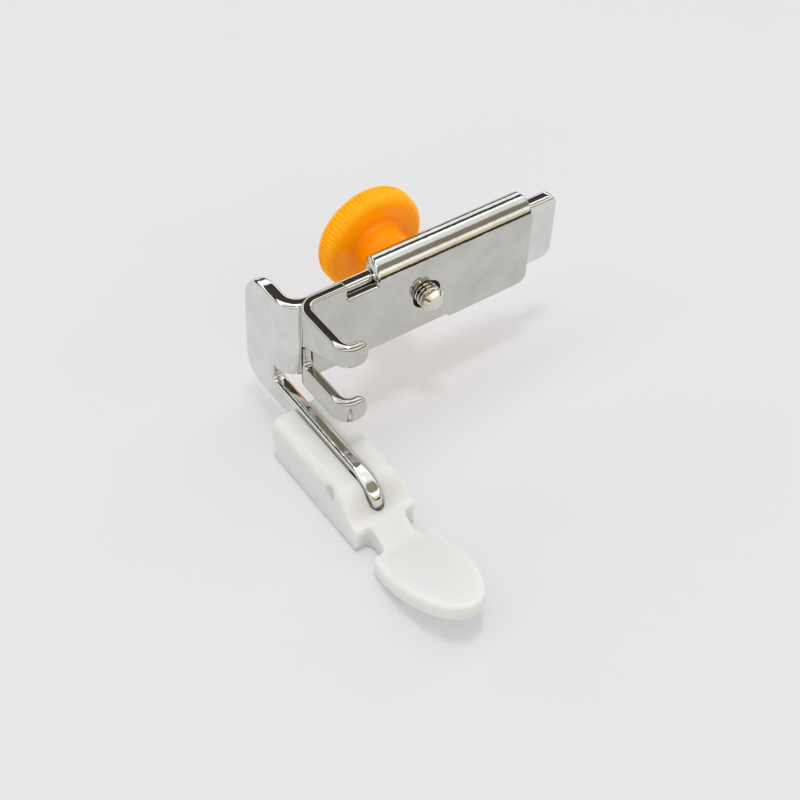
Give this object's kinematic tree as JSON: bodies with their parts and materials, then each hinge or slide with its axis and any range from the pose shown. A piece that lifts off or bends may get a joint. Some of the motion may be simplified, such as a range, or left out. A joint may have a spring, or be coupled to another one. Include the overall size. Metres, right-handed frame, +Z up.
{
  "type": "sewing machine presser foot",
  "caption": "Adjustable slide-bar presser foot: a chromed fork bracket with a rolled guide, a bent sliding carrier held by an orange thumb screw, and a hinged white sole.",
  "frame": {"origin": "on the presser bar's axis, level with the middle of the bar's clamp screw", "axes": "+X along the slide bar, away from the fork; -Y towards the toe; +Z up the presser bar"},
  "size_m": [0.0417, 0.0463, 0.0218],
  "materials": {
    "chrome_plate": "bright chrome plate",
    "nickel_plate": "bright nickel plate",
    "orange_plastic": "moulded, semi-gloss",
    "white_nylon": "moulded, satin, slightly translucent",
    "pin_steel": "ground steel"
  },
  "bodies": {
    "bracket": {"shank_bracket": "chrome_plate"},
    "carrier": {"slide_carrier": "chrome_plate"},
    "thumb_screw": {"thumb_knob": "orange_plastic", "clamp_screw": "nickel_plate"},
    "sole": {"sole": "white_nylon", "hinge_pin": "pin_steel"}
  },
  "joints": [
    {"name": "carrier_slide", "type": "slide", "parent": "bracket", "child": "carrier", "axis": [1, 0, 0], "range_m": [-0.0015, 0.0085]},
    {"name": "thumb_screw_turn", "type": "hinge", "parent": "bracket", "child": "thumb_screw", "pos_m": [0.0125, 0.0036, 0], "axis": [0, 1, 0], "continuous": true},
    {"name": "sole_hinge", "type": "hinge", "parent": "carrier", "child": "sole", "pos_m": [-0.0047, -0.0082, -0.01], "axis": [-1, 0, 0], "range_deg": [-9, 12]}
  ]
}
